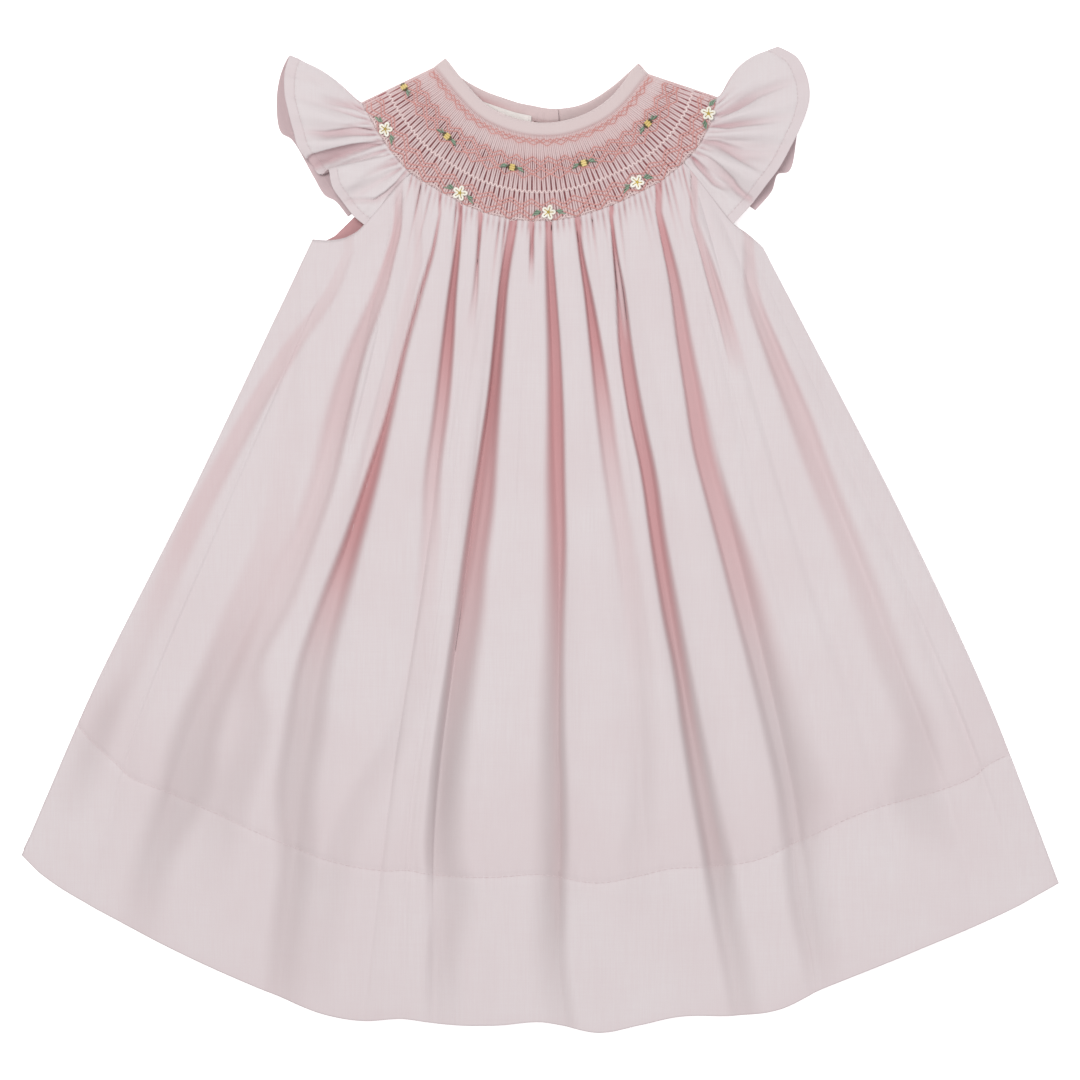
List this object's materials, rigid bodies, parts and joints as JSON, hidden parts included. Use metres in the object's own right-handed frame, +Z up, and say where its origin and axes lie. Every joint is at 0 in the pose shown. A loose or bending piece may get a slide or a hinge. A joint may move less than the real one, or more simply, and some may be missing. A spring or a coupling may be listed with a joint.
{
  "type": "smocked baby dress",
  "caption": "Baby's bishop dress laid flat: hand-smocked round yoke, bound neck, gathered flared skirt with a deep hem, and flutter sleeves.",
  "frame": {"origin": "on the table under the middle of the dress's outline", "axes": "+X to the picture's right, along the hem, +Y from the hem towards the neck, +Z up off the table, out of the front"},
  "size_m": [0.4899, 0.4635, 0.0141],
  "materials": {
    "cloth": "soft matt cotton",
    "smocking": "pleated cotton with embroidery thread",
    "binding": "soft matt cotton",
    "label": "plain woven tape",
    "button": "glossy"
  },
  "bodies": {
    "root": {"front_skirt": "cloth", "back_skirt": "cloth", "front_yoke": "smocking", "back_yoke_left": "cloth", "back_yoke_right": "cloth", "neck_binding_front": "binding", "neck_binding_back_left": "binding", "neck_binding_back_right": "binding", "sleeve_left": "cloth", "sleeve_right": "cloth", "neck_label": "label", "button_1": "button", "button_2": "button", "button_3": "button"}
  },
  "joints": []
}
